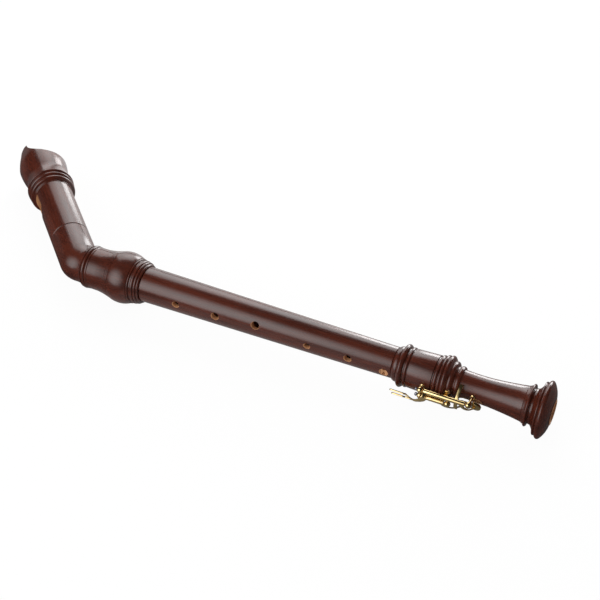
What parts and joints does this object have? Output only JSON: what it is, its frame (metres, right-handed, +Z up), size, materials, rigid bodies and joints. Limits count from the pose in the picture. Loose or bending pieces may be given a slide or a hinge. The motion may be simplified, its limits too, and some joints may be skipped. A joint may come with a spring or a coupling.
{
  "type": "tenor recorder",
  "caption": "Bent-neck wooden recorder that comes apart at corked tenons, with turned beads, a flared bell and a gilt double key for the lowest notes.",
  "frame": {"origin": "on the surface the instrument lies on, under the middle of its bounding box", "axes": "+X along the bore towards the bell, +Z up from the surface, the finger holes face -Y and the head bends towards +Y"},
  "size_m": [0.608, 0.1574, 0.0499],
  "materials": {
    "stained_wood": "dark red-brown stain under a satin oil finish",
    "cedar": "bare planed wood",
    "cork": "greased sheet cork, matt",
    "gilt_metal": "polished gilt plate",
    "steel": "polished, lightly blued",
    "pad_leather": "fine matt skin"
  },
  "bodies": {
    "neck": {"neck_elbow": "stained_wood", "neck_cork": "cork", "barrel": "stained_wood"},
    "head": {"head_joint": "stained_wood", "block": "cedar"},
    "middle": {"middle_joint": "stained_wood", "middle_upper_cork": "cork", "middle_lower_cork": "cork"},
    "foot": {"foot_joint": "stained_wood", "low_csharp_post_front": "gilt_metal", "low_csharp_post_rear": "gilt_metal", "low_c_post_front": "gilt_metal", "low_c_post_rear": "gilt_metal", "low_csharp_pivot_rod": "steel", "low_c_pivot_rod": "steel", "low_csharp_spring": "steel", "low_c_spring": "steel"},
    "low_csharp_key": {"key_low_csharp": "gilt_metal", "low_csharp_pad": "pad_leather", "low_csharp_bumper": "cork"},
    "low_c_key": {"key_low_c": "gilt_metal", "low_c_pad": "pad_leather", "low_c_bumper": "cork"}
  },
  "joints": [
    {"name": "tuning_slide", "type": "slide", "parent": "neck", "child": "head", "axis": [-0.723, 0.6909, -0.0021], "range_m": [0, 0.008]},
    {"name": "middle_twist", "type": "hinge", "parent": "neck", "child": "middle", "pos_m": [-0.07849, -0.05006, 0.02433], "axis": [1, 0, 0.0016], "range_deg": [-20, 20]},
    {"name": "foot_twist", "type": "hinge", "parent": "middle", "child": "foot", "pos_m": [0.16701, -0.05006, 0.02473], "axis": [1, 0, 0.0016], "range_deg": [-30, 30]},
    {"name": "low_csharp_press", "type": "hinge", "parent": "foot", "child": "low_csharp_key", "pos_m": [0.20012, -0.07238, 0.01925], "axis": [1, 0, 0.0016], "range_deg": [0, 10], "stiffness_Nm_per_rad": 0.02, "springref_deg": -20.05},
    {"name": "low_c_press", "type": "hinge", "parent": "foot", "child": "low_c_key", "pos_m": [0.20011, -0.07302, 0.02602], "axis": [1, 0, 0.0016], "range_deg": [0, 10], "stiffness_Nm_per_rad": 0.02, "springref_deg": -20.05}
  ]
}
